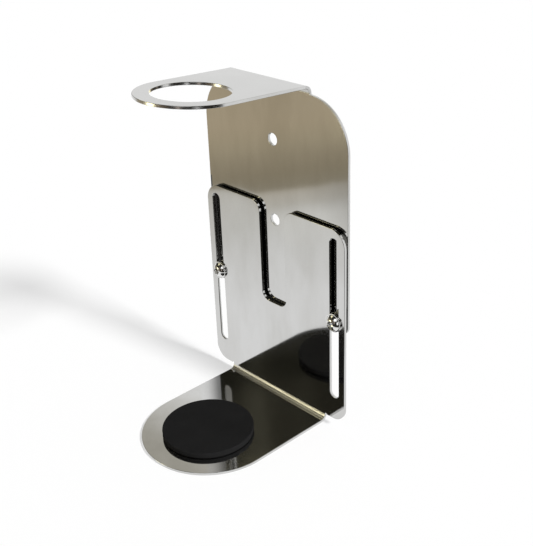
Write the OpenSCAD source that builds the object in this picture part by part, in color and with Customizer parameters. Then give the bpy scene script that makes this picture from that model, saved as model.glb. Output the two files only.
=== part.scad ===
// Adjustable wall holder for a hair dryer: two bent sheet brackets clamped to each other.
// Units are millimetres, +Z is up and the front faces -Y.
// The origin is in the middle plane at the underside of the shelf, between the axes of shelf end and ring.

/* [Sheet] */
// thickness of both bent sheets
sheet = 1.8; // [1:0.1:2.5]
// inside radius of both bends
bend_radius = 3.5; // [1.5:0.1:5]
// amount that the stretched sheet of a bend loses at each face and edge
bend_thinning = 0.02; // [0.01:0.01:0.06]
// distance from the wall plate's front face to the upright axis through the origin
reach = 60.4; // [55:0.1:75]

/* [Wall bracket] */
// distance by which the wall plate's sides stay inside the front plate's
wall_inset = 0.3; // [0:0.1:3]
// height of the arm's top face at the bend, above the underside of the shelf
arm_height = 217.5; // [195:0.5:260]
// large corner radius of the wall plate's shoulders
shoulder_radius = 30; // [20:1:40]
// distance of the shoulders below the arm's bend, so that the bend doesn't tear them
shoulder_drop = 0.4; // [0.2:0.1:4]
// small corner radius at the wall plate's lower edge
lower_corner = 5; // [2:0.5:6]
// material left under the clamp screws, from their axis to the lower edge
lower_margin = 8; // [7.5:0.5:14]
// width of the ring arm, which is also the ring's outer diameter
arm_width = 63; // [54:1:70]
// diameter of the ring's hole
ring_hole = 45; // [35:0.5:48]
// angle by which the arm's tip rises above level
arm_rise = 3.4; // [0:0.1:4.5]
// distance of the ring's centre behind the upright axis
ring_back = 1.9; // [0:0.1:4]
// diameter of the two wall screw holes
wall_hole = 7.6; // [5:0.1:10]
// height of the lower wall screw hole
lower_hole_height = 127; // [110:0.5:150]
// distance between the two wall screw holes
wall_hole_spacing = 52; // [40:1:60]

/* [Shelf bracket] */
// width of the slotted front plate
front_width = 122; // [116:1:140]
// height of the two prong tops
prong_height = 137; // [120:0.5:160]
// outer corner radius of the prong tops
prong_outer = 11; // [6:0.5:14]
// corner radius of the prong tops beside the notch
prong_inner = 7; // [4:0.5:10]
// width of the notch between the prongs
notch_width = 22; // [14:0.5:30]
// height of the notch's floor
notch_floor = 69.5; // [50:0.5:90]
// corner radius of the notch's floor
notch_corner = 6; // [3:0.5:7]
// width of the two upright slots
slot_width = 7.2; // [6.8:0.1:8]
// height of the lower end of the slots
slot_low = 21.5; // [16:0.5:40]
// height of the upper end of the slots
slot_high = 131.5; // [110:0.5:132]
// corner radius of the front plate's lower corners
foot_corner = 10; // [5:0.5:12]
// radius of the small reliefs at the ends of the shelf's bend
relief = 0.8; // [0.6:0.1:1.8]
// distance of the shelf's sides from the front plate's sides
shelf_inset = 16.75; // [14:0.25:22]
// distance of the shelf's round end in front of the upright axis
shelf_forward = 1.2; // [0:0.1:4]

/* [Clamp screws] */
// height of the clamp screws above the underside of the shelf
clamp_height = 76; // [60:0.5:90]
// distance of the clamp screws from the front plate's sides
clamp_inset = 8.5; // [8:0.5:12]
// thread diameter
thread = 6; // [5.5:0.1:6.2]
// radial clearance between the thread and its nut
thread_clearance = 0.05; // [0.02:0.01:0.08]
// diameter of the round screw head
head_width = 10.5; // [9.5:0.1:11]
// height of the round screw head
head_height = 3.3; // [2.8:0.1:3.6]
// height of the straight rim under the dome
head_rim = 0.4; // [0.3:0.1:0.6]
// width across the flats of the key socket
socket_width = 4; // [3:0.1:4.5]
// depth of the key socket
socket_depth = 2; // [1.5:0.1:2.2]
// distance by which the screw end stays inside the wall face
end_margin = 0.1; // [0.1:0.1:0.5]
// outside diameter of all washers
washer_width = 12; // [11.5:0.5:13]
// radial room between a washer and the thread
washer_room = 0.3; // [0.3:0.05:0.5]
// thickness of the washers under the heads
head_washer = 1.2; // [1:0.1:1.6]
// thickness of the spacer washers between the plates
spacer_washer = 1.4; // [1:0.1:3]
// width across the flats of the flush nuts pressed into the wall plate
nut_width = 9; // [8.5:0.1:9.5]

/* [Rest pad] */
// diameter of the pad
pad_width = 58; // [45:0.5:70]
// thickness of the pad
pad_thickness = 4; // [2:0.1:6]
// distance of the pad's centre in front of the upright axis
pad_forward = 3.7; // [0:0.1:8]
// thickness of the adhesive film under the pad
film = 0.2; // [0.1:0.05:0.4]
// distance by which the film stays inside the pad's edge
film_margin = 1; // [0.5:0.1:2]

/* [Hidden] */
$fn = 96;
wall_width = front_width - 2 * wall_inset;
shelf_width = front_width - 2 * shelf_inset;
clamp_x = front_width / 2 - clamp_inset;
wall_front = reach;
wall_rear = wall_front + sheet;
front_rear = wall_front - spacer_washer;
front_face = front_rear - sheet;
washer_face = front_face - head_washer;
arm_fold = arm_height - sheet - bend_radius;
arm_fold_y = wall_front - bend_radius;
shoulder_top = arm_fold - shoulder_drop;
shoulder_low = shoulder_top - shoulder_radius;
arm_middle = bend_radius + sheet / 2;
arm_length = (arm_fold_y - ring_back + arm_middle * sin(arm_rise)) / cos(arm_rise);
wall_low = clamp_height - lower_margin;
upper_hole_height = lower_hole_height + wall_hole_spacing;
shelf_fold = sheet + bend_radius;
shelf_fold_y = front_face - bend_radius;
washer_hole = thread + 2 * washer_room;
nut_hole = thread + 2 * thread_clearance;
screw_length = wall_rear - washer_face - end_margin;
screw_bevel = thread / 12;
bend_lap = 3;
right_angle = 90;
dome_rise = head_height - head_rim;
dome_radius = (pow(head_width / 2, 2) + pow(dome_rise, 2)) / (2 * dome_rise);
over = 1;

// What is left of a square corner outside a round one, seen from the round's centre.
module corner_waste(radius) {
  difference() {
    square(radius + over);
    circle(r = radius);
  }
}

// A pair of equal corner wastes, left and right, for a plate of the given half width.
module corner_pair(half, height, radius, up) {
  for (side = [-1, 1])
    translate([side * (half - radius), height - up * radius])
      mirror([side < 0 ? 1 : 0, 0])
        mirror([0, up < 0 ? 1 : 0])
          corner_waste(radius);
}

// Stands a flat outline up as a sheet whose rear face is at the given y.
module upright_sheet(rear) {
  translate([0, rear, 0])
    rotate([90, 0, 0])
      linear_extrude(sheet)
        children();
}

// A bent strip of sheet around an axis along X, which laps into the flat sheet at both ends.
module bend(width, start, sweep) {
  rotate([90, 0, 90])
    rotate([0, 0, start - bend_lap])
      rotate_extrude(angle = sweep + 2 * bend_lap)
        translate([bend_radius + bend_thinning, bend_thinning - width / 2])
          square([sheet - 2 * bend_thinning, width - 2 * bend_thinning]);
}

module nut_outline() {
  circle(r = nut_width / sqrt(3), $fn = 6);
}

module wall_outline() {
  difference() {
    union() {
      difference() {
        translate([-wall_width / 2, wall_low])
          square([wall_width, shoulder_top - wall_low]);
        corner_pair(wall_width / 2, shoulder_top, shoulder_radius, 1);
        corner_pair(wall_width / 2, wall_low, lower_corner, -1);
      }
      translate([-arm_width / 2, shoulder_low])
        square([arm_width, arm_fold - shoulder_low]);
    }
    for (height = [lower_hole_height, upper_hole_height])
      translate([0, height])
        circle(d = wall_hole);
    for (side = [-1, 1])
      translate([side * clamp_x, clamp_height])
        nut_outline();
  }
}

module arm_outline() {
  difference() {
    union() {
      translate([-arm_width / 2, -arm_length])
        square([arm_width, arm_length]);
      translate([0, -arm_length])
        circle(d = arm_width);
    }
    translate([0, -arm_length])
      circle(d = ring_hole);
  }
}

// Wall plate, bend and ring arm, cut from one sheet.
module wall_bracket() {
  color([0.80, 0.80, 0.80])
    union() {
      upright_sheet(wall_rear)
        wall_outline();
      translate([0, arm_fold_y, arm_fold]) {
        bend(arm_width, 0, right_angle - arm_rise);
        rotate([-arm_rise, 0, 0])
          translate([0, 0, bend_radius])
            linear_extrude(sheet)
              arm_outline();
      }
    }
}

module slot_outline() {
  round_low = slot_low + slot_width / 2;
  round_high = slot_high - slot_width / 2;
  translate([-slot_width / 2, round_low])
    square([slot_width, round_high - round_low]);
  for (height = [round_low, round_high])
    translate([0, height])
      circle(d = slot_width);
}

module notch_outline() {
  difference() {
    translate([-notch_width / 2, notch_floor])
      square([notch_width, prong_height - notch_floor + over]);
    corner_pair(notch_width / 2, notch_floor, notch_corner, -1);
  }
}

module front_outline() {
  difference() {
    translate([-front_width / 2, shelf_fold])
      square([front_width, prong_height - shelf_fold]);
    corner_pair(front_width / 2, prong_height, prong_outer, 1);
    corner_pair(front_width / 2, shelf_fold, foot_corner, -1);
    notch_outline();
    for (side = [-1, 1]) {
      translate([side * (notch_width / 2 + prong_inner), prong_height - prong_inner])
        mirror([side > 0 ? 1 : 0, 0])
          corner_waste(prong_inner);
      translate([side * clamp_x, 0])
        slot_outline();
      translate([side * (shelf_width / 2 + relief), shelf_fold])
        circle(r = relief);
    }
  }
}

// Slotted front plate, bend and shelf, cut from one sheet.
module shelf_bracket() {
  color([0.78, 0.78, 0.78])
    union() {
      upright_sheet(front_rear)
        front_outline();
      translate([0, shelf_fold_y, shelf_fold])
        bend(shelf_width, -right_angle, right_angle);
      linear_extrude(sheet)
        union() {
          translate([-shelf_width / 2, -shelf_forward])
            square([shelf_width, shelf_fold_y + shelf_forward]);
          translate([0, -shelf_forward])
            circle(d = shelf_width);
        }
    }
}

// Places a turned piece on a clamp axis, its own +Z pointing out to the front.
module on_clamp_axis(side, y) {
  translate([side * clamp_x, y, clamp_height])
    rotate([90, 0, 0])
      children();
}

module washer(thickness) {
  linear_extrude(thickness)
    difference() {
      circle(d = washer_width);
      circle(d = washer_hole);
    }
}

module clinch_nut(side) {
  color([0.70, 0.70, 0.72])
    on_clamp_axis(side, wall_rear)
      linear_extrude(sheet)
        difference() {
          nut_outline();
          circle(d = nut_hole);
        }
}

module clamp_screw(side) {
  color([0.85, 0.85, 0.85])
    on_clamp_axis(side, washer_face)
      difference() {
        rotate_extrude()
          union() {
            intersection() {
              translate([0, head_height - dome_radius])
                circle(r = dome_radius);
              square([head_width / 2, head_height]);
            }
            polygon([
              [0, head_rim / 2],
              [0, -screw_length],
              [thread / 2 - screw_bevel, -screw_length],
              [thread / 2, screw_bevel - screw_length],
              [thread / 2, head_rim / 2]
            ]);
          }
        translate([0, 0, head_height - socket_depth])
          linear_extrude(socket_depth + over)
            circle(r = socket_width / sqrt(3), $fn = 6);
      }
}

module left_clinch_nut() {
  clinch_nut(-1);
}

module right_clinch_nut() {
  clinch_nut(1);
}

module left_spacer_washer() {
  color([0.72, 0.72, 0.72])
    on_clamp_axis(-1, wall_front)
      washer(spacer_washer);
}

module right_spacer_washer() {
  color([0.72, 0.72, 0.72])
    on_clamp_axis(1, wall_front)
      washer(spacer_washer);
}

module left_head_washer() {
  color([0.75, 0.75, 0.75])
    on_clamp_axis(-1, front_face)
      washer(head_washer);
}

module right_head_washer() {
  color([0.75, 0.75, 0.75])
    on_clamp_axis(1, front_face)
      washer(head_washer);
}

module left_clamp_screw() {
  clamp_screw(-1);
}

module right_clamp_screw() {
  clamp_screw(1);
}

// Soft round pad that the dryer rests on.
module rest_pad() {
  color([0.09, 0.09, 0.09])
    translate([0, -pad_forward, sheet + film])
      cylinder(d = pad_width, h = pad_thickness);
}

// Double-sided film that holds the pad to the shelf.
module pad_adhesive() {
  color([0.9, 0.9, 0.85])
    translate([0, -pad_forward, sheet])
      cylinder(d = pad_width - 2 * film_margin, h = film);
}

wall_bracket();
left_clinch_nut();
right_clinch_nut();
left_spacer_washer();
right_spacer_washer();
shelf_bracket();
left_head_washer();
right_head_washer();
left_clamp_screw();
right_clamp_screw();
rest_pad();
pad_adhesive();
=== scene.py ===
"""Looks of an adjustable wall holder for a hair dryer.

Two mirror-polished bent sheets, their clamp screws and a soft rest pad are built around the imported
model. Everything is in metres, in the model's own frame: +Z is up and the front faces -Y.
"""

import math

import bmesh
import bpy
from mathutils import Matrix, Vector, noise
from mathutils.geometry import tessellate_polygon


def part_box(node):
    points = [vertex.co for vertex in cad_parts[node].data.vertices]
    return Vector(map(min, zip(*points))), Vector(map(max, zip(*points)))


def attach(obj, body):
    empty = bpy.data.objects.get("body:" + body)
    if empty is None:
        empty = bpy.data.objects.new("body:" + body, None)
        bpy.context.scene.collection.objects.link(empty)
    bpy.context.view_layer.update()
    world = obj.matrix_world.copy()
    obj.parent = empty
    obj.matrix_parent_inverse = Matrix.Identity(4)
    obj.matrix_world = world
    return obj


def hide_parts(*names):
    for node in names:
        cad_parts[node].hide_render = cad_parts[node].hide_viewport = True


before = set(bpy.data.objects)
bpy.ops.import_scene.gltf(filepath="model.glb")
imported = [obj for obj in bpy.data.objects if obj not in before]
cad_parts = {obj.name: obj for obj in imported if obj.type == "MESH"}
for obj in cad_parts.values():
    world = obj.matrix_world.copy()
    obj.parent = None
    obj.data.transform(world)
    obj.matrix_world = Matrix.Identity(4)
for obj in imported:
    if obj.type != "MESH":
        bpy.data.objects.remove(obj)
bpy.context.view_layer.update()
MM = 0.001
RIGHT_ANGLE = math.radians(90)
SIXTH = math.radians(60)

# Distances that count as none: when the sheet is cut, between neighbours and when points are joined.
HAIR = MM / 10000
TOUCH = MM / 1000
WELD = MM / 500

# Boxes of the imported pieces, which give most places and sizes.
wall_low, wall_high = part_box("wall_bracket")
_, front_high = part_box("shelf_bracket")
screw_low, screw_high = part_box("right_clamp_screw")
head_washer_low, head_washer_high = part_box("right_head_washer")
spacer_low, spacer_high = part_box("right_spacer_washer")
nut_low, nut_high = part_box("right_clinch_nut")
pad_low, pad_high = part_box("rest_pad")

# Sheet
SHEET = 1.8 * MM
BEND_MIDDLE = 3.5 * MM + SHEET / 2
EDGE = 0.22 * MM
EDGE_STEPS = 4
ARC_STEP = math.radians(2)
ARC_LEAST = 6
BEND_STEPS = 28

# Wall bracket
ARM_RISE = math.radians(3.4)
RING_BACK = 1.9 * MM
ARM_FOLD = 212.2 * MM
SHOULDER_RADIUS = 30 * MM
SHOULDER_DROP = 0.4 * MM
LOWER_CORNER = 5 * MM
ARM_HALF = 31.5 * MM
RING_HOLE = 22.5 * MM
WALL_HOLE = 3.8 * MM
WALL_HOLE_HEIGHTS = (127 * MM, 179 * MM)

# Shelf bracket
SHELF_FOLD = 5.3 * MM
SHELF_HALF = 44.25 * MM
PRONG_OUTER = 11 * MM
PRONG_INNER = 7 * MM
NOTCH_HALF = 11 * MM
NOTCH_FLOOR = 69.5 * MM
NOTCH_CORNER = 6 * MM
SLOT_HALF = 3.6 * MM
SLOT_LOW = 21.5 * MM
SLOT_HIGH = 131.5 * MM
FOOT_CORNER = 10 * MM
SHELF_FORWARD = 1.2 * MM
RELIEF = 0.8 * MM

# Clamp screws, washers and nuts
CLAMP_X = (screw_low.x + screw_high.x) / 2
CLAMP_HEIGHT = (screw_low.z + screw_high.z) / 2
WASHER_FACE = head_washer_low.y
HEAD_HEIGHT = WASHER_FACE - screw_low.y
HEAD_HALF = (screw_high.x - screw_low.x) / 2
HEAD_RIM = 0.4 * MM
SHANK_LENGTH = screw_high.y - WASHER_FACE
THREAD = 3 * MM
PITCH = 1 * MM
THREAD_DEPTH = 0.45 * MM
THREAD_RUN_OUT = 0.35 * PITCH
THREAD_POINTS = 10
SOCKET_HALF = 2 * MM
SOCKET_DEPTH = 2 * MM
SCREW_BEVEL = 0.5 * MM
WASHER_HALF = (head_washer_high.x - head_washer_low.x) / 2
WASHER_BORE = 3.3 * MM
NUT_HALF = (nut_high.z - nut_low.z) / 2
NUT_BORE = 3.05 * MM
NUT_EDGE = 0.15 * MM
TURN_SEGMENTS = 96
CORNER_STEPS = 3
SHARP_ANGLE = math.radians(32)


def add_object(name, data):
    """A new object in the scene."""
    made = bpy.data.objects.new(name, data)
    bpy.context.scene.collection.objects.link(made)
    return made


def smooth_mesh(name, bm):
    """A smooth-shaded mesh from one that was being edited."""
    mesh = bpy.data.meshes.new(name)
    bm.to_mesh(mesh)
    bm.free()
    mesh.shade_smooth()
    return mesh


def flat_arc(centre, radius, start, end):
    """Points of an arc in the flat pattern, from one angle in degrees to another."""
    start, end = math.radians(start), math.radians(end)
    count = max(ARC_LEAST, math.ceil(abs(end - start) / ARC_STEP))
    angles = [start + (end - start) * i / count for i in range(count + 1)]
    return [(centre[0] + radius * math.cos(a), centre[1] + radius * math.sin(a)) for a in angles]


def flat_circle(centre, radius):
    """A round hole, run clockwise so that the sheet is on its left."""
    return flat_arc(centre, radius, 0, -360)[:-1]


def both_sides(right_half):
    """A symmetric outline from its right half, which runs from the bottom to the top."""
    return right_half + [(-u, v) for u, v in reversed(right_half)]


def without_repeats(points):
    """The same closed outline with no two neighbours in one place."""
    return [p for i, p in enumerate(points) if math.dist(p, points[i - 1]) > TOUCH]


def miter_normals(points):
    """Outward normals of a closed outline that has the sheet on its left, scaled for mitred corners."""
    found = []
    for i, point in enumerate(points):
        before = Vector(point) - Vector(points[i - 1])
        after = Vector(points[(i + 1) % len(points)]) - Vector(point)
        one = Vector((before.y, -before.x)).normalized()
        two = Vector((after.y, -after.x)).normalized()
        found.append((one + two) / (1 + one.dot(two)))
    return found


def bent_place(flat, normal, fold):
    """Where a point of the flat pattern and its normal go when the sheet is bent.

    flat holds the pattern's two directions and the distance from the middle of the sheet.
    """
    u, v, w = flat
    way, radius, axis_y = fold["way"], BEND_MIDDLE, fold["middle_y"] - BEND_MIDDLE
    run = way * (v - fold["height"])
    angle = min(max(run / radius, 0), fold["angle"])
    rest = min(run, 0) + max(run - radius * fold["angle"], 0)
    outward = Vector((0, math.cos(angle), way * math.sin(angle)))
    onward = Vector((0, -math.sin(angle), way * math.cos(angle)))
    place = Vector((u, axis_y, fold["height"])) + outward * (radius + w) + onward * rest
    turned = Vector((normal[0], 0, 0)) + onward * (way * normal[1]) + outward * normal[2]
    return place, turned.normalized()


def bent_sheet(name, outlines, fold):
    """A sheet cut to its outlines, with rounded edges, bent once.

    The side that is outside in the bend has the second finish. One attribute marks the bend itself and
    another the cut edges, as far as the fold wants them dull.
    """
    bm = bmesh.new()
    flat_normal = bm.verts.layers.float_vector.new("flat_normal")
    cut = bm.verts.layers.float.new("cut")
    half = SHEET / 2
    quarter = [RIGHT_ANGLE * i / EDGE_STEPS for i in range(EDGE_STEPS + 1)]
    section = [(a, 1) for a in quarter] + [(a, -1) for a in reversed(quarter)]
    faces = {1: [], -1: []}
    for points in outlines:
        points = without_repeats(points)
        normals = miter_normals(points)
        rings = []
        for angle, side in section:
            inset = EDGE * (1 - math.sin(angle))
            depth = side * (half - EDGE * (1 - math.cos(angle)))
            ring = []
            for point, normal in zip(points, normals):
                vert = bm.verts.new((*(Vector(point) - normal * inset), depth))
                level = normal.normalized() * math.sin(angle)
                vert[flat_normal] = (*level, side * math.cos(angle))
                vert[cut] = fold["cut"] * math.sin(angle)
                ring.append(vert)
            rings.append(ring)
        for upper, lower in zip(rings, rings[1:]):
            for i in range(len(points)):
                bm.faces.new((upper[i - 1], upper[i], lower[i], lower[i - 1]))
        faces[1].append(rings[0])
        faces[-1].append(rings[-1])
    for side, loops in faces.items():
        verts = [vert for loop in loops for vert in loop]
        for corners in tessellate_polygon([[vert.co for vert in loop] for loop in loops]):
            face = bm.faces.new([verts[i] for i in corners])
            face.material_index = 1 if side > 0 else 0
    bend_length = BEND_MIDDLE * fold["angle"]
    for i in range(BEND_STEPS + 1):
        run = bend_length * i / BEND_STEPS
        bmesh.ops.bisect_plane(
            bm,
            geom=bm.verts[:] + bm.edges[:] + bm.faces[:],
            dist=HAIR,
            plane_co=(0, fold["height"] + fold["way"] * run, 0),
            plane_no=(0, 1, 0),
        )
    bmesh.ops.dissolve_degenerate(bm, dist=HAIR, edges=bm.edges)
    bmesh.ops.recalc_face_normals(bm, faces=bm.faces)
    drawn = bm.verts.layers.float.new("drawn")
    normals = []
    for vert in bm.verts:
        run = fold["way"] * (vert.co.y - fold["height"])
        vert[drawn] = 1 if TOUCH < run < bend_length - TOUCH else 0
        vert.co, normal = bent_place(vert.co, vert[flat_normal], fold)
        normals.append(normal)
    bm.verts.layers.float_vector.remove(flat_normal)
    if bm.calc_volume(signed=True) < 0:
        bmesh.ops.reverse_faces(bm, faces=bm.faces)
    mesh = smooth_mesh(name, bm)
    mesh.normals_split_custom_set_from_vertices(normals)
    return add_object(name, mesh)


def wall_outlines():
    """Wall plate and ring arm in the flat."""
    half = wall_high.x
    low = wall_low.z
    shoulder = ARM_FOLD - SHOULDER_DROP - SHOULDER_RADIUS
    shoulder_end = math.degrees(math.acos((ARM_HALF - half + SHOULDER_RADIUS) / SHOULDER_RADIUS))
    bend_length = BEND_MIDDLE * (RIGHT_ANGLE - ARM_RISE)
    axis_y = wall_high.y - SHEET / 2 - BEND_MIDDLE
    arm_length = (axis_y - RING_BACK + BEND_MIDDLE * math.sin(ARM_RISE)) / math.cos(ARM_RISE)
    ring = ARM_FOLD + bend_length + arm_length
    right_half = (
        flat_arc((half - LOWER_CORNER, low + LOWER_CORNER), LOWER_CORNER, -90, 0)
        + flat_arc((half - SHOULDER_RADIUS, shoulder), SHOULDER_RADIUS, 0, shoulder_end)
        + [(ARM_HALF, ARM_FOLD)]
        + flat_arc((0, ring), ARM_HALF, 0, 90)
    )
    holes = [flat_circle((0, height), WALL_HOLE) for height in WALL_HOLE_HEIGHTS]
    holes.append(flat_circle((0, ring), RING_HOLE))
    corner = NUT_HALF / math.cos(SIXTH / 2)
    for side in (-1, 1):
        turns = [-SIXTH * i for i in range(6)]
        hexagon = [
            (side * CLAMP_X + corner * math.cos(a), CLAMP_HEIGHT + corner * math.sin(a)) for a in turns
        ]
        holes.append(hexagon)
    return [both_sides(right_half)] + holes


def slot_outline(x):
    """An upright slot with round ends, run clockwise."""
    top = flat_arc((x, SLOT_HIGH - SLOT_HALF), SLOT_HALF, 180, 0)
    bottom = flat_arc((x, SLOT_LOW + SLOT_HALF), SLOT_HALF, 0, -180)
    return top + bottom


def shelf_outlines():
    """Slotted front plate and round-ended shelf in the flat."""
    half = front_high.x
    high = front_high.z
    bend_length = BEND_MIDDLE * RIGHT_ANGLE
    axis_y = front_high.y - SHEET / 2 - BEND_MIDDLE
    shelf_end = SHELF_FOLD - bend_length - axis_y - SHELF_FORWARD
    right_half = (
        flat_arc((0, shelf_end), SHELF_HALF, -90, 0)
        + flat_arc((SHELF_HALF + RELIEF, SHELF_FOLD), RELIEF, 180, 0)
        + flat_arc((half - FOOT_CORNER, SHELF_FOLD + FOOT_CORNER), FOOT_CORNER, -90, 0)
        + flat_arc((half - PRONG_OUTER, high - PRONG_OUTER), PRONG_OUTER, 0, 90)
        + flat_arc((NOTCH_HALF + PRONG_INNER, high - PRONG_INNER), PRONG_INNER, 90, 180)
        + flat_arc((NOTCH_HALF - NOTCH_CORNER, NOTCH_FLOOR + NOTCH_CORNER), NOTCH_CORNER, 0, -90)
    )
    return [both_sides(right_half), slot_outline(-CLAMP_X), slot_outline(CLAMP_X)]


class Tree:
    """Short words for building a node tree."""

    def __init__(self, tree):
        self.tree = tree

    def add(self, kind, inputs=None, **settings):
        """A node with its settings, and values or sockets for its inputs."""
        made = self.tree.nodes.new(kind)
        for key, value in settings.items():
            setattr(made, key, value)
        for key, value in (inputs or {}).items():
            self.feed(made.inputs[key], value)
        return made

    def feed(self, socket, value):
        """A value or another socket for an input."""
        if isinstance(value, bpy.types.NodeSocket):
            self.tree.links.new(value, socket)
        else:
            socket.default_value = value

    def calc(self, operation, *values):
        """The result of one calculation."""
        made = self.tree.nodes.new("ShaderNodeMath")
        made.operation = operation
        for socket, value in zip(made.inputs, values):
            self.feed(socket, value)
        return made.outputs[0]


def turning_tree():
    """Node tree that turns a profile into a round or six-sided piece and sets it in a row.

    The profile's vertices give radius and height. Their attributes say where the piece has six flats
    and where it has a thread.
    """
    group = bpy.data.node_groups.new("turned_pieces", "GeometryNodeTree")
    sockets = (
        ("Profile", "NodeSocketGeometry"),
        ("Segments", "NodeSocketInt"),
        ("Pitch", "NodeSocketFloat"),
        ("Thread depth", "NodeSocketFloat"),
        ("Count", "NodeSocketInt"),
        ("Place", "NodeSocketVector"),
        ("Step", "NodeSocketVector"),
        ("Finish", "NodeSocketMaterial"),
    )
    for name, kind in sockets:
        group.interface.new_socket(name=name, in_out="INPUT", socket_type=kind)
    group.interface.new_socket(name="Pieces", in_out="OUTPUT", socket_type="NodeSocketGeometry")
    tree = Tree(group)
    calc = tree.calc
    given = tree.add("NodeGroupInput").outputs
    columns = calc("ADD", given["Segments"], 1)
    rows = tree.add(
        "GeometryNodeAttributeDomainSize", {"Geometry": given["Profile"]}, component="MESH"
    )
    grid = tree.add(
        "GeometryNodeMeshGrid", {"Vertices X": rows.outputs["Point Count"], "Vertices Y": columns}
    )
    index = tree.add("GeometryNodeInputIndex").outputs[0]
    row = calc("FLOOR", calc("DIVIDE", calc("ADD", index, 0.5), columns))
    share = calc("DIVIDE", calc("SUBTRACT", index, calc("MULTIPLY", row, columns)), given["Segments"])
    angle = calc("MULTIPLY", share, math.tau)

    def of_profile(kind, value):
        sample = tree.add(
            "GeometryNodeSampleIndex",
            {"Geometry": given["Profile"], "Value": value, "Index": row},
            data_type=kind,
            domain="POINT",
        )
        return sample.outputs["Value"]

    def named(name):
        attribute = tree.add("GeometryNodeInputNamedAttribute", {"Name": name}, data_type="FLOAT")
        return of_profile("FLOAT", attribute.outputs["Attribute"])

    position = of_profile("FLOAT_VECTOR", tree.add("GeometryNodeInputPosition").outputs[0])
    point = tree.add("ShaderNodeSeparateXYZ", {"Vector": position}).outputs
    from_flat = calc("SUBTRACT", calc("MODULO", angle, SIXTH), SIXTH / 2)
    corner_gain = calc("SUBTRACT", calc("DIVIDE", 1, calc("COSINE", from_flat)), 1)
    six_sided = calc("ADD", 1, calc("MULTIPLY", corner_gain, named("flats")))
    turn = calc("SUBTRACT", calc("DIVIDE", point["Z"], given["Pitch"]), share)
    wave = calc("MULTIPLY", calc("PINGPONG", turn, 0.5), 2)
    groove = calc("MULTIPLY", calc("MULTIPLY", wave, named("thread")), given["Thread depth"])
    radius = calc("SUBTRACT", calc("MULTIPLY", point["X"], six_sided), groove)
    place = tree.add(
        "ShaderNodeCombineXYZ",
        {
            "X": calc("MULTIPLY", radius, calc("COSINE", angle)),
            "Y": calc("MULTIPLY", radius, calc("SINE", angle)),
            "Z": point["Z"],
        },
    )
    shaped = tree.add(
        "GeometryNodeSetPosition", {"Geometry": grid.outputs["Mesh"], "Position": place.outputs[0]}
    )
    marked = tree.add(
        "GeometryNodeStoreNamedAttribute",
        {"Geometry": shaped.outputs[0], "Name": "turned_radius", "Value": radius},
        data_type="FLOAT",
        domain="POINT",
    )
    closed = tree.add(
        "GeometryNodeMergeByDistance", {"Geometry": marked.outputs[0], "Distance": WELD}
    )
    line = tree.add(
        "GeometryNodeMeshLine",
        {"Count": given["Count"], "Start Location": given["Place"], "Offset": given["Step"]},
    )
    row_of = tree.add(
        "GeometryNodeInstanceOnPoints",
        {"Points": line.outputs[0], "Instance": closed.outputs[0]},
    )
    row_of.inputs["Rotation"].default_value = (RIGHT_ANGLE, 0, 0)
    real = tree.add("GeometryNodeRealizeInstances", {"Geometry": row_of.outputs[0]})
    finished = tree.add(
        "GeometryNodeSetMaterial", {"Geometry": real.outputs[0], "Material": given["Finish"]}
    )
    tree.add("NodeGroupOutput", {"Pieces": finished.outputs[0]})
    return group


def turned_piece(name, profile, y, xs, finish):
    """Pieces turned on the clamp axes at these x, the profile's own height pointing to the front."""
    mesh = bpy.data.meshes.new(name)
    edges = [(i, i + 1) for i in range(len(profile) - 1)]
    mesh.from_pydata([(point[0], 0, point[1]) for point in profile], edges, [])
    for column, label in ((2, "flats"), (3, "thread")):
        attribute = mesh.attributes.new(label, "FLOAT", "POINT")
        attribute.data.foreach_set("value", [float(point[column]) for point in profile])
    piece = add_object(name, mesh)
    modifier = piece.modifiers.new("turning", "NODES")
    modifier.node_group = turning
    values = {
        "Segments": TURN_SEGMENTS,
        "Pitch": PITCH,
        "Thread depth": THREAD_DEPTH,
        "Count": len(xs),
        "Place": (xs[0], y, CLAMP_HEIGHT),
        "Step": (xs[-1] - xs[0], 0, 0),
        "Finish": finish,
    }
    for socket in turning.interface.items_tree:
        if socket.name in values:
            modifier[socket.identifier] = values[socket.name]
    depsgraph = bpy.context.evaluated_depsgraph_get()
    made = bpy.data.meshes.new_from_object(piece.evaluated_get(depsgraph))
    piece.modifiers.clear()
    piece.data = made
    bm = bmesh.new()
    bm.from_mesh(made)
    bmesh.ops.recalc_face_normals(bm, faces=bm.faces)
    bm.to_mesh(made)
    bm.free()
    made.shade_smooth()
    made.set_sharp_from_angle(angle=SHARP_ANGLE)
    return piece


def round_corner(r, z, radius, start):
    """Profile points round a corner, from an angle in degrees through a right angle clockwise."""
    angles = [math.radians(start - 90 * i / CORNER_STEPS) for i in range(CORNER_STEPS + 1)]
    return [(r + radius * math.cos(a), z + radius * math.sin(a), 0, 0) for a in angles]


def thread_points(radius, top, bottom, depth_sign):
    """Closely spaced profile points along a thread."""
    count = max(2, round((top - bottom) / PITCH * THREAD_POINTS))
    heights = [top + (bottom - top) * i / count for i in range(count + 1)]
    points = []
    for z in heights:
        share = min(1, (top - z) / THREAD_RUN_OUT, (z - bottom) / THREAD_RUN_OUT)
        points.append((radius, z, 0, depth_sign * share))
    return points


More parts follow.
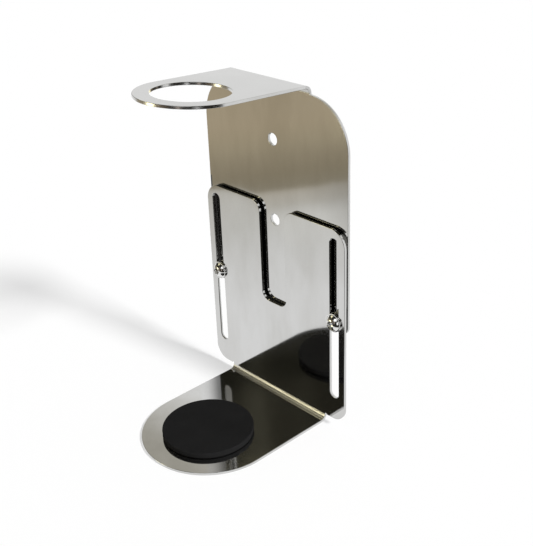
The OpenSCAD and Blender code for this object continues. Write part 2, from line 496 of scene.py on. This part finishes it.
def screw_profile():
    """Round-headed clamp screw from the floor of its key socket to its end."""
    rise = HEAD_HEIGHT - HEAD_RIM
    dome = (HEAD_HALF ** 2 + rise ** 2) / (2 * rise)
    floor = HEAD_HEIGHT - SOCKET_DEPTH

    def on_dome(r):
        return HEAD_HEIGHT - dome + math.sqrt(dome ** 2 - r ** 2)

    lip, drill_point = 0.12 * MM, 0.3 * MM
    floor_half, mouth_half, crown_half = 0.9 * SOCKET_HALF, 1.12 * SOCKET_HALF, 1.28 * SOCKET_HALF
    mouth = on_dome(mouth_half)
    socket = [
        (0, floor - drill_point, 1, 0),
        (floor_half, floor, 1, 0),
        (SOCKET_HALF, floor + lip, 1, 0),
        (SOCKET_HALF, mouth - 2 * lip, 1, 0),
        (SOCKET_HALF + 0.4 * lip, mouth - 0.9 * lip, 1, 0),
        (SOCKET_HALF + 1.3 * lip, mouth - 0.3 * lip, 1, 0),
    ]
    steps = 14
    shares = [math.sin(RIGHT_ANGLE * i / steps) for i in range(steps)]
    radii = [crown_half + (HEAD_HALF - crown_half) * share for share in shares]
    crown = [(r, on_dome(r), 0, 0) for r in radii]
    rim = [(HEAD_HALF, HEAD_RIM, 0, 0)] + round_corner(HEAD_HALF - lip, lip, lip, 0)
    shank = thread_points(THREAD, -lip, -SHANK_LENGTH + SCREW_BEVEL, 1)
    end = [(THREAD - SCREW_BEVEL, -SHANK_LENGTH, 0, 0), (0, -SHANK_LENGTH, 0, 0)]
    return socket + crown + rim + [(THREAD, 0, 0, 0)] + shank + end


def washer_profile(thickness):
    """Flat washer with broken edges."""
    edge = 0.18 * MM
    inner = [
        (WASHER_BORE, edge, 0, 0),
        (WASHER_BORE, thickness - edge, 0, 0),
        (WASHER_BORE + edge, thickness, 0, 0),
    ]
    outer = round_corner(WASHER_HALF - edge, thickness - edge, edge, 90)
    outer += round_corner(WASHER_HALF - edge, edge, edge, 0)
    return inner + outer + [(WASHER_BORE + edge, 0, 0, 0), inner[0]]


def nut_profile():
    """Flush six-sided nut with a threaded bore."""
    bore = thread_points(NUT_BORE, SHEET - NUT_EDGE, NUT_EDGE, -1)
    outside = [
        (NUT_BORE + 2 * NUT_EDGE, 0, 0, 0),
        (NUT_HALF - NUT_EDGE, 0, 1, 0),
        (NUT_HALF, NUT_EDGE, 1, 0),
        (NUT_HALF, SHEET - NUT_EDGE, 1, 0),
        (NUT_HALF - NUT_EDGE, SHEET, 1, 0),
        (NUT_BORE + 2 * NUT_EDGE, SHEET, 0, 0),
    ]
    return bore + outside + [bore[0]]


def soft_pad(name):
    """Cut foam pad: a disc with a slightly crowned face and softly broken edges."""
    centre = (pad_low + pad_high) / 2
    half = (pad_high.x - pad_low.x) / 2
    top, bottom = pad_high.z, pad_low.z
    upper_edge, lower_edge, waist, crown, ripple_size = 0.45 * MM, 0.2 * MM, 0.04 * MM, 0.12 * MM, 6 * MM
    segments, face_rings, edge_steps = 192, 12, 5
    rings = [(half * i / face_rings, top) for i in range(face_rings)]
    for i in range(edge_steps + 1):
        a = math.radians(90 - 90 * i / edge_steps)
        rings.append((half - upper_edge * (1 - math.cos(a)), top - upper_edge * (1 - math.sin(a))))
    for share in (0.25, 0.5, 0.75):
        rings.append((half - waist, top + (bottom - top) * share))
    rings += [(half, bottom + lower_edge), (half - lower_edge, bottom), (half / 2, bottom), (0, bottom)]
    bm = bmesh.new()
    rows = []
    for r, z in rings:
        row = []
        for i in range(segments):
            a = math.tau * i / segments
            place = Vector((r * math.cos(a), r * math.sin(a), z))
            if z > bottom:
                ripple = noise.noise(place / ripple_size) - 1
                place.z += crown / 2 * ripple - crown / 2 * (r / half) ** 4
            row.append(bm.verts.new(place + Vector((centre.x, centre.y, 0))))
        rows.append(row)
    for upper, lower in zip(rows, rows[1:]):
        for i in range(segments):
            bm.faces.new((upper[i - 1], upper[i], lower[i], lower[i - 1]))
    bmesh.ops.remove_doubles(bm, verts=bm.verts, dist=WELD)
    bmesh.ops.recalc_face_normals(bm, faces=bm.faces)
    return add_object(name, smooth_mesh(name, bm))


def new_material(name, metallic=0):
    """A material with its tree words, surface shader and object coordinates."""
    made = bpy.data.materials.new(name)
    made.use_nodes = True
    tree = Tree(made.node_tree)
    shader = made.node_tree.nodes["Principled BSDF"]
    shader.inputs["Metallic"].default_value = metallic
    place = tree.add("ShaderNodeTexCoord").outputs["Object"]
    return made, tree, shader, place


def stretched(tree, place, scale):
    """Object coordinates stretched for a pattern with a direction."""
    return tree.add("ShaderNodeMapping", {"Vector": place, "Scale": scale}).outputs[0]


def attribute_of(tree, name):
    """A number that the mesh carries."""
    return tree.add("ShaderNodeAttribute", attribute_name=name).outputs["Fac"]


def noise_of(tree, place, scale, detail=2.0, roughness=0.5):
    """A cloudy pattern."""
    inputs = {"Vector": place, "Scale": scale, "Detail": detail, "Roughness": roughness}
    return tree.add("ShaderNodeTexNoise", inputs).outputs["Fac"]


def ramp_of(tree, value, stops):
    """A colour ramp with stops of position and colour."""
    made = tree.add("ShaderNodeValToRGB", {"Fac": value})
    ramp = made.color_ramp
    while len(ramp.elements) < len(stops):
        ramp.elements.new(1)
    for element, (position, colour) in zip(ramp.elements, stops):
        element.position = position
        element.color = (*colour, 1)
    return made.outputs["Color"]


def between(tree, value, low, high):
    """A number that follows a pattern between two limits."""
    made = tree.add("ShaderNodeMapRange", {"Value": value, "To Min": low, "To Max": high})
    return made.outputs["Result"]


def coloured(tree, shader, pattern, stops, roughness):
    """A base colour that follows a pattern, and a roughness."""
    tree.feed(shader.inputs["Base Color"], ramp_of(tree, pattern, stops))
    tree.feed(shader.inputs["Roughness"], roughness)


def raised(tree, shader, height, distance, strength=1.0, normal=None):
    """Bump on the shader, over an earlier one where there is one."""
    inputs = {"Height": height, "Distance": distance, "Strength": strength}
    if normal is not None:
        inputs["Normal"] = normal
    made = tree.add("ShaderNodeBump", inputs)
    tree.feed(shader.inputs["Normal"], made.outputs["Normal"])
    return made.outputs["Normal"]


def polished_sheet():
    """Mirror-polished stainless sheet: faint waves, wiping marks and fine polishing lines.

    The bend and the marked cut edges are duller than the faces.
    """
    made, tree, shader, place = new_material("polished_sheet", metallic=1)
    bend_dulling, cut_dulling = 0.24, 0.12
    lines = noise_of(tree, stretched(tree, place, (60, 900, 900)), 6, 3)
    wiping = noise_of(tree, stretched(tree, place, (14, 14, 5)), 3, 3, 0.6)
    haze = between(tree, tree.calc("MULTIPLY", wiping, lines), 0.055, 0.115)
    dull_cut = tree.calc("MULTIPLY", attribute_of(tree, "cut"), cut_dulling)
    dulled = tree.calc("MULTIPLY_ADD", attribute_of(tree, "drawn"), bend_dulling, dull_cut)
    tints = ((0.36, (0.570, 0.568, 0.557)), (0.64, (0.628, 0.629, 0.624)))
    coloured(tree, shader, wiping, tints, tree.calc("ADD", haze, dulled))
    waves = noise_of(tree, place, 26, 1)
    normal = raised(tree, shader, waves, 0.08 * MM)
    raised(tree, shader, lines, 0.0004 * MM, 1.0, normal)
    return made


def mill_finish(name, dark, pale, low, high):
    """The side of a sheet that is outside in its bend: as rolled, with faint lines along the roll."""
    made, tree, shader, place = new_material(name, metallic=1)
    lines = noise_of(tree, stretched(tree, place, (25, 700, 700)), 5, 3, 0.6)
    clouds = noise_of(tree, place, 40, 3)
    coloured(tree, shader, clouds, ((0.3, dark), (0.7, pale)), between(tree, lines, low, high))
    raised(tree, shader, lines, 0.002 * MM)
    return made


def polished_hardware():
    """Bright turned steel with fine rings round the axis."""
    made, tree, shader, place = new_material("polished_hardware", metallic=1)
    radius = attribute_of(tree, "turned_radius")
    ring_place = tree.add("ShaderNodeCombineXYZ", {"X": radius}).outputs[0]
    rings = noise_of(tree, ring_place, 5200, 2)
    spots = noise_of(tree, place, 900, 3, 0.6)
    tints = ((0.3, (0.70, 0.70, 0.69)), (0.7, (0.78, 0.78, 0.77)))
    coloured(tree, shader, spots, tints, between(tree, rings, 0.05, 0.14))
    raised(tree, shader, rings, 0.002 * MM)
    return made


def plain_steel():
    """Plain steel of the hidden washers and pressed nuts, dull and lightly scratched."""
    made, tree, shader, place = new_material("plain_steel", metallic=1)
    scratches = noise_of(tree, stretched(tree, place, (1400, 300, 300)), 2, 4, 0.65)
    spots = noise_of(tree, place, 500, 3)
    tints = ((0.3, (0.50, 0.50, 0.50)), (0.7, (0.58, 0.58, 0.57)))
    coloured(tree, shader, spots, tints, between(tree, scratches, 0.22, 0.42))
    raised(tree, shader, scratches, 0.004 * MM)
    return made


def pad_foam():
    """Dense black cellular rubber: fine open pores and a dusty sheen, with painted light that makes its
    sides paler than its top.
    """
    made, tree, shader, place = new_material("pad_foam")
    pores = tree.add("ShaderNodeTexVoronoi", {"Vector": place, "Scale": 1900.0}).outputs["Distance"]
    grain = noise_of(tree, place, 1200, 4, 0.7)
    dust = noise_of(tree, place, 60, 3)
    mix = tree.calc("ADD", tree.calc("MULTIPLY", grain, 0.7), tree.calc("MULTIPLY", dust, 0.3))
    # Painted light: the colour gets paler where the surface faces sideways, so the sides look more lit than
    # the top.
    facing = tree.add("ShaderNodeNewGeometry").outputs["Normal"]
    up = tree.add("ShaderNodeSeparateXYZ", {"Vector": facing}).outputs["Z"]
    shade = tree.calc("ADD", mix, between(tree, up, 0.35, 0.0))
    tints = ((0.3, (0.0048, 0.0048, 0.0051)), (1.0, (0.0165, 0.0165, 0.0168)))
    coloured(tree, shader, shade, tints, between(tree, grain, 0.72, 0.95))
    shader.inputs["Specular IOR Level"].default_value = 0.14
    height = tree.calc("SUBTRACT", tree.calc("MULTIPLY", grain, 0.6), tree.calc("MULTIPLY", pores, 0.4))
    raised(tree, shader, height, 0.12 * MM)
    return made


def adhesive_film():
    """Milky double-sided film, slightly uneven."""
    made, tree, shader, place = new_material("adhesive_film")
    flow = noise_of(tree, place, 180, 3)
    tints = ((0.3, (0.55, 0.54, 0.50)), (0.7, (0.66, 0.65, 0.61)))
    coloured(tree, shader, flow, tints, between(tree, flow, 0.35, 0.6))
    raised(tree, shader, flow, 0.02 * MM)
    return made


def add_world():
    """Even surroundings: white where they are seen, a softer fill where they light the object."""
    world = bpy.data.worlds.new("surroundings")
    world.use_nodes = True
    bpy.context.scene.world = world
    tree = Tree(world.node_tree)
    path = tree.add("ShaderNodeLightPath").outputs
    seen = tree.calc("MAXIMUM", path["Is Camera Ray"], path["Is Glossy Ray"])
    background = world.node_tree.nodes["Background"]
    background.inputs["Color"].default_value = (1, 1, 1, 1)
    fill = 0.30
    tree.feed(background.inputs["Strength"], between(tree, seen, fill, 1.0))


def plain_mesh(name, corners):
    """An object with one flat face."""
    mesh = bpy.data.meshes.new(name)
    mesh.from_pydata(corners, [], [tuple(range(len(corners)))])
    return add_object(name, mesh)


def bare_material(thing):
    """The tree words and the surface output of a new material for a thing of the stage."""
    made = bpy.data.materials.new(thing.name)
    made.use_nodes = True
    nodes = made.node_tree.nodes
    nodes.remove(nodes["Principled BSDF"])
    thing.data.materials.append(made)
    return Tree(made.node_tree), nodes["Material Output"].inputs["Surface"]


def set_stage(thing):
    """The floor and what the metal mirrors go with the shelf, because the holder stands on its shelf."""
    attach(thing, "shelf_side")


def grey(level):
    """A colour without a hue."""
    return (level, level, level)


def add_floor():
    """Pale floor that is white to the camera, with part of its shadow, and plain white to mirrors."""
    half = 4.0
    pale, shadow_share, own_white = 0.8, 0.40, 0.543
    floor = plain_mesh("floor", [(-half, -half, 0), (half, -half, 0), (half, half, 0), (-half, half, 0)])
    tree, output = bare_material(floor)
    path = tree.add("ShaderNodeLightPath").outputs
    lit = tree.add("ShaderNodeBsdfDiffuse", {"Color": (*grey(pale), 1)}).outputs[0]
    shaded = tree.add("ShaderNodeBsdfDiffuse", {"Color": (*grey(shadow_share), 1)}).outputs[0]
    glow = tree.add("ShaderNodeEmission", {"Strength": own_white}).outputs[0]
    seen = tree.add("ShaderNodeAddShader", {0: shaded, 1: glow}).outputs[0]
    white = tree.add("ShaderNodeEmission", {"Strength": 1.0}).outputs[0]
    direct = tree.add("ShaderNodeMixShader", {0: path["Is Camera Ray"], 1: lit, 2: seen}).outputs[0]
    mixed = tree.add("ShaderNodeMixShader", {0: path["Is Glossy Ray"], 1: direct, 2: white}).outputs[0]
    tree.feed(output, mixed)
    set_stage(floor)


def plain(colour):
    """A gradient that stays at one colour."""
    return ((0.0, colour), (1.0, colour))


def studio_card(name, corners, upward, across=None):
    """A card that only mirrors see, with one plain gradient and, where given, a second across it.

    Each corner is a place and its share of the way along the two gradients.
    """
    card = plain_mesh(name, [place for place, share in corners])
    uv = card.data.uv_layers.new(name="UVMap")
    for loop, (place, share) in zip(uv.data, corners):
        loop.uv = share
    tree, output = bare_material(card)
    place = tree.add("ShaderNodeTexCoord").outputs["UV"]
    part = tree.add("ShaderNodeSeparateXYZ", {"Vector": place}).outputs
    glow = tree.add("ShaderNodeEmission", {"Color": ramp_of(tree, part["Y"], upward)})
    if across:
        tree.feed(glow.inputs["Strength"], ramp_of(tree, part["X"], across))
    tree.feed(output, glow.outputs[0])
    card.visible_camera = False
    card.visible_diffuse = False
    card.visible_shadow = False
    card.visible_transmission = False
    set_stage(card)


def directions(azimuth):
    """Level directions along an azimuth and across it."""
    a = math.radians(azimuth)
    return Vector((math.cos(a), math.sin(a), 0)), Vector((-math.sin(a), math.cos(a), 0))


def upright(azimuth, start, end, low, high):
    """Corners of a card that stands from one place to another, its gradient running up.

    A place is a run across the azimuth and a distance along it.
    """
    onward, along = directions(azimuth)
    one, two = [along * run + onward * distance for run, distance in (start, end)]
    low, high = Vector((0, 0, low)), Vector((0, 0, high))
    return [(one + low, (0, 0)), (two + low, (1, 0)), (two + high, (1, 1)), (one + high, (0, 1))]


def lying(azimuth, outline, height=0.5 * MM):
    """Corners of a level card, its gradient running from the far end to the near one.

    The outline has runs across the azimuth and distances along it.
    """
    onward, along = directions(azimuth)
    runs, distances = zip(*outline)
    corners = []
    for run, distance in outline:
        place = along * run + onward * distance + Vector((0, 0, height))
        u = (run - min(runs)) / (max(runs) - min(runs))
        v = (max(distances) - distance) / (max(distances) - min(distances))
        corners.append((place, (u, v)))
    return corners


def add_sun(azimuth, elevation, width, strength):
    """A soft key light from one side, out of sight of the mirrors."""
    data = bpy.data.lights.new("key", "SUN")
    data.angle = math.radians(width)
    data.energy = strength
    lamp = add_object("key", data)
    a, e = math.radians(azimuth), math.radians(elevation)
    source = Vector((math.cos(a) * math.cos(e), math.sin(a) * math.cos(e), math.sin(e)))
    lamp.rotation_euler = (-source).to_track_quat("-Z", "Y").to_euler()
    lamp.visible_glossy = False


def add_camera():
    """The photograph's viewpoint, worked out from the edges of the two sheets."""
    target = Vector((32.28, 26.92, 116.19)) * MM
    azimuth, elevation = math.radians(47.45), math.radians(26.55)
    distance, roll = 542.3 * MM, math.radians(-2.10)
    right = Vector((math.cos(azimuth), math.sin(azimuth), 0))
    level = math.cos(elevation)
    back = Vector((math.sin(azimuth) * level, -math.cos(azimuth) * level, math.sin(elevation)))
    up = back.cross(right)
    turned_right = right * math.cos(roll) + up * math.sin(roll)
    turned_up = up * math.cos(roll) - right * math.sin(roll)
    data = bpy.data.cameras.new("camera")
    camera = add_object("camera", data)
    axes = Matrix((turned_right, turned_up, back)).transposed().to_4x4()
    camera.matrix_world = Matrix.Translation(target + back * distance) @ axes
    data.sensor_width = 36
    data.lens = 61.815
    data.shift_x = -0.01073
    data.shift_y = -0.00707
    data.clip_start = 0.01
    bpy.context.scene.camera = camera


def finish_piece(piece, body, nodes, materials=()):
    """Ties a finished piece to its body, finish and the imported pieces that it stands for."""
    for material in materials:
        piece.data.materials.append(material)
    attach(piece, body)
    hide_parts(*nodes)
    return piece


bpy.context.scene.view_settings.view_transform = "Standard"
add_camera()
add_world()
add_floor()
add_sun(azimuth=6, elevation=38, width=10, strength=4.3)

# What the mirrors see around the white floor. To the front left are a brown floor, a far wall and dark
# hangings with two lamps, to the left a dim wall, in front a brown wall with a dim lamp, and on the camera's
# side a dark room with two lamps. The ceiling is dark in front, beige further back and white behind. A dark
# card on the floor at the rear left is a painted shadow. Grey cards to the left of the front plate and in
# its left slot are painted shade that the shelf mirrors.
ROOM, CAMERA_SIDE = 208, -40
ROOM_EDGE, ROOM_END, CEILING = 0.325, 0.95, 0.62
WHITE = grey(1)
DARK = (0.025, 0.024, 0.020)
BEIGE = (0.51, 0.49, 0.43)
PALE_FLOOR = (0.64, 0.60, 0.52)
LIGHT_FLOOR = (0.76, 0.745, 0.70)
near_black = plain(DARK)
dim_brown = plain((0.28, 0.25, 0.19))
dim_wall = plain((0.12, 0.114, 0.095))
warm_light = plain((1.25, 1.15, 0.76))
strong_light = plain((3.7, 3.4, 2.25))
white_light = plain(grey(1.5))
dim_light = plain((0.7, 0.6, 0.53))
corner_brown = plain((0.235, 0.19, 0.137))
# Grey of the painted shade in the left slot.
painted_slot_shade_grey = plain((0.22, 0.215, 0.20))
floor_edge = [(0.018, ROOM_EDGE), (0.0, 0.345), (-0.02, 0.357), (-0.18, 0.40)]
front_middle = front_high.y - SHEET / 2
studio_card(
    "brown_floor",
    lying(ROOM, [(0.82, ROOM_EDGE)] + floor_edge + [(-0.18, ROOM_END), (0.82, ROOM_END)]),
    ((0.56, (0.545, 0.455, 0.315)), (0.656, (0.54, 0.45, 0.31)), (0.72, (0.51, 0.43, 0.295)),
     (0.784, (0.475, 0.405, 0.28)), (0.848, (0.41, 0.35, 0.245)), (0.928, (0.35, 0.30, 0.21)),
     (1.0, (0.34, 0.30, 0.22))),
    ((0.18, grey(0.97)), (0.24, WHITE), (0.34, grey(0.92))),
)
studio_card("far_wall", upright(ROOM, (-0.30, ROOM_END), (0.90, ROOM_END), 0.0, 0.45), dim_brown)
studio_card(
    "hanging", upright(ROOM, (-0.12, ROOM_EDGE), (0.30, ROOM_EDGE), 0.18, CEILING),
    ((0.02, (0.050, 0.048, 0.039)), (0.05, (0.026, 0.025, 0.018)), (0.10, (0.026, 0.025, 0.018)),
     (0.15, (0.050, 0.047, 0.034)), (1.0, (0.044, 0.042, 0.031))),
    ((0.27, grey(0.9)), (0.31, (1.9, 1.8, 1.65)), (0.335, (1.9, 1.8, 1.65)), (0.38, WHITE),
     (0.46, WHITE), (0.52, (0.68, 0.68, 0.66))),
)
studio_card(
    "floor_by_room", lying(ROOM, [(0.018, ROOM_EDGE), (0.82, ROOM_EDGE), (0.82, 0.10), (0.018, 0.10)]),
    ((0.0, (0.52, 0.47, 0.37)), (0.045, PALE_FLOOR), (0.18, (0.67, 0.645, 0.58)),
     (0.245, LIGHT_FLOOR), (0.33, (0.87, 0.86, 0.82)), (0.645, (0.87, 0.865, 0.845)),
     (0.80, (0.89, 0.885, 0.87)), (1.0, WHITE)),
    ((0.056, WHITE), (0.089, grey(0.86)), (0.122, grey(0.74)), (0.26, grey(0.72)),
     (0.36, (0.16, 0.15, 0.12))),
)
studio_card(
    "floor_by_corner", lying(ROOM, floor_edge + [(-0.18, 0.10), (0.018, 0.10)]),
    ((0.0, PALE_FLOOR), (0.16, (0.70, 0.68, 0.62)), (0.325, LIGHT_FLOOR),
     (0.505, (0.79, 0.78, 0.745)), (0.667, (0.86, 0.855, 0.835)), (0.84, (0.95, 0.948, 0.94)),
     (1.0, WHITE)),
)
studio_card(
    "ceiling", lying(-90, [(-2, 1.2), (2, 1.2), (2, -2), (-2, -2)], CEILING),
    ((0.42, (0.03, 0.029, 0.025)), (0.45, BEIGE), (0.511, BEIGE), (0.523, (0.70, 0.685, 0.64)),
     (0.548, (0.95, 0.945, 0.93)), (0.56, WHITE)),
)
# Painted shade: a grey card that only the mirrors see stands in the front plate's plane just left of its
# edge, so the shelf mirrors a grey band there.
studio_card(
    "painted_shade_beside_plate", upright(90, (0.062, front_middle), (0.086, front_middle), 0.0, 0.14),
    ((0.43, WHITE), (0.64, (0.54, 0.53, 0.50))),
    ((0.0, (0.25, 0.24, 0.225)), (0.15, (0.35, 0.335, 0.32)), (0.40, (0.65, 0.64, 0.62)),
     (0.64, (0.89, 0.89, 0.88)), (0.90, WHITE)),
)
# More painted shade: a grey card that only the mirrors see fills the left slot.
slot_sides = [(CLAMP_X - SLOT_HALF, front_middle), (CLAMP_X + SLOT_HALF, front_middle)]
studio_card("painted_shade_in_slot", upright(90, *slot_sides, SLOT_LOW, wall_low.z), painted_slot_shade_grey)
studio_card("left_wall", upright(184, (-0.22, 0.42), (0.20, 0.42), 0.20, CEILING), dim_wall)
studio_card("low_lamp", upright(ROOM, (0.19, 0.50), (0.42, 0.50), 0.0, 0.24), strong_light)
studio_card("high_lamp", upright(212, (-0.09, 0.30), (0.10, 0.30), 0.335, 0.56), warm_light)
studio_card("camera_lamp", upright(-55, (-0.11, 0.30), (0.10, 0.30), 0.21, 0.45), white_light)
studio_card("side_lamp", upright(-28, (-0.03, 0.31), (0.03, 0.31), 0.0, 0.15), white_light)
studio_card(
    "corner_wall", upright(264, (-0.10, 0.36), (0.09, 0.36), 0.0, 0.30), corner_brown,
    ((0.2, WHITE), (0.8, (0.46, 0.45, 0.46))),
)
studio_card("dim_lamp", upright(297, (-0.02, 0.32), (0.02, 0.32), 0.03, 0.17), dim_light)
studio_card("camera_side", upright(CAMERA_SIDE, (-0.30, 0.33), (0.68, 0.33), 0.0, CEILING), near_black)
studio_card(
    "camera_side_floor", lying(CAMERA_SIDE, [(-0.30, 0.33), (0.30, 0.33), (0.30, 0.06), (-0.30, 0.06)]),
    ((0.84, DARK), (0.96, WHITE)),
)
# Painted shadow: the floor at the rear left is white and lit, and this dark card that only the mirrors see
# stands in for the holder's shadow there.
studio_card(
    "painted_shadow_rear_left", lying(180, [(-0.40, 0.40), (-0.10, 0.40), (-0.10, 0.04), (-0.40, 0.04)]),
    near_black,
)

mirror_finish = polished_sheet()
arm_finish = mill_finish("bright_mill_finish", (0.518, 0.518, 0.508), (0.548, 0.548, 0.540), 0.06, 0.12)
# Painted shade: the shelf sheet's rear side gets a darker copy of the same mill finish, so its face in the
# gap between the plates looks dark. The shelf's underside gets it too.
painted_shade_rear_finish = mill_finish("painted_shade_mill_finish", (0.34, 0.34, 0.335), (0.38, 0.38, 0.375), 0.10, 0.18)
bright_finish = polished_hardware()
dull_finish = plain_steel()
turning = turning_tree()

wall_fold = {
    "way": 1,
    "height": ARM_FOLD,
    "middle_y": wall_high.y - SHEET / 2,
    "angle": RIGHT_ANGLE - ARM_RISE,
    "cut": 1.0,
}
wall_sheet = bent_sheet("wall_sheet", wall_outlines(), wall_fold)
finish_piece(wall_sheet, "wall_side", ["wall_bracket"], [mirror_finish, arm_finish])

shelf_fold = {
    "way": -1,
    "height": SHELF_FOLD,
    "middle_y": front_middle,
    "angle": RIGHT_ANGLE,
    "cut": 0.0,
}
shelf_sheet = bent_sheet("shelf_sheet", shelf_outlines(), shelf_fold)
finish_piece(shelf_sheet, "shelf_side", ["shelf_bracket"], [mirror_finish, painted_shade_rear_finish])

both = (-CLAMP_X, CLAMP_X)
spacers = turned_piece(
    "spacer_washers", washer_profile(spacer_high.y - spacer_low.y), spacer_high.y, both, dull_finish
)
finish_piece(spacers, "wall_side", ["left_spacer_washer", "right_spacer_washer"])
nuts = turned_piece("clinch_nuts", nut_profile(), nut_high.y, both, dull_finish)
finish_piece(nuts, "wall_side", ["left_clinch_nut", "right_clinch_nut"])

for side, x in (("left", -CLAMP_X), ("right", CLAMP_X)):
    thickness = head_washer_high.y - head_washer_low.y
    washer = turned_piece(
        side + "_head_ring", washer_profile(thickness), head_washer_high.y, (x,), bright_finish
    )
    finish_piece(washer, side + "_washer", [side + "_head_washer"])
    screw = turned_piece(side + "_button_screw", screw_profile(), WASHER_FACE, (x,), bright_finish)
    finish_piece(screw, side + "_screw", [side + "_clamp_screw"])

pad = soft_pad("soft_pad")
finish_piece(pad, "shelf_side", ["rest_pad"], [pad_foam()])

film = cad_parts["pad_adhesive"]
film.data.materials.clear()
film.data.materials.append(adhesive_film())
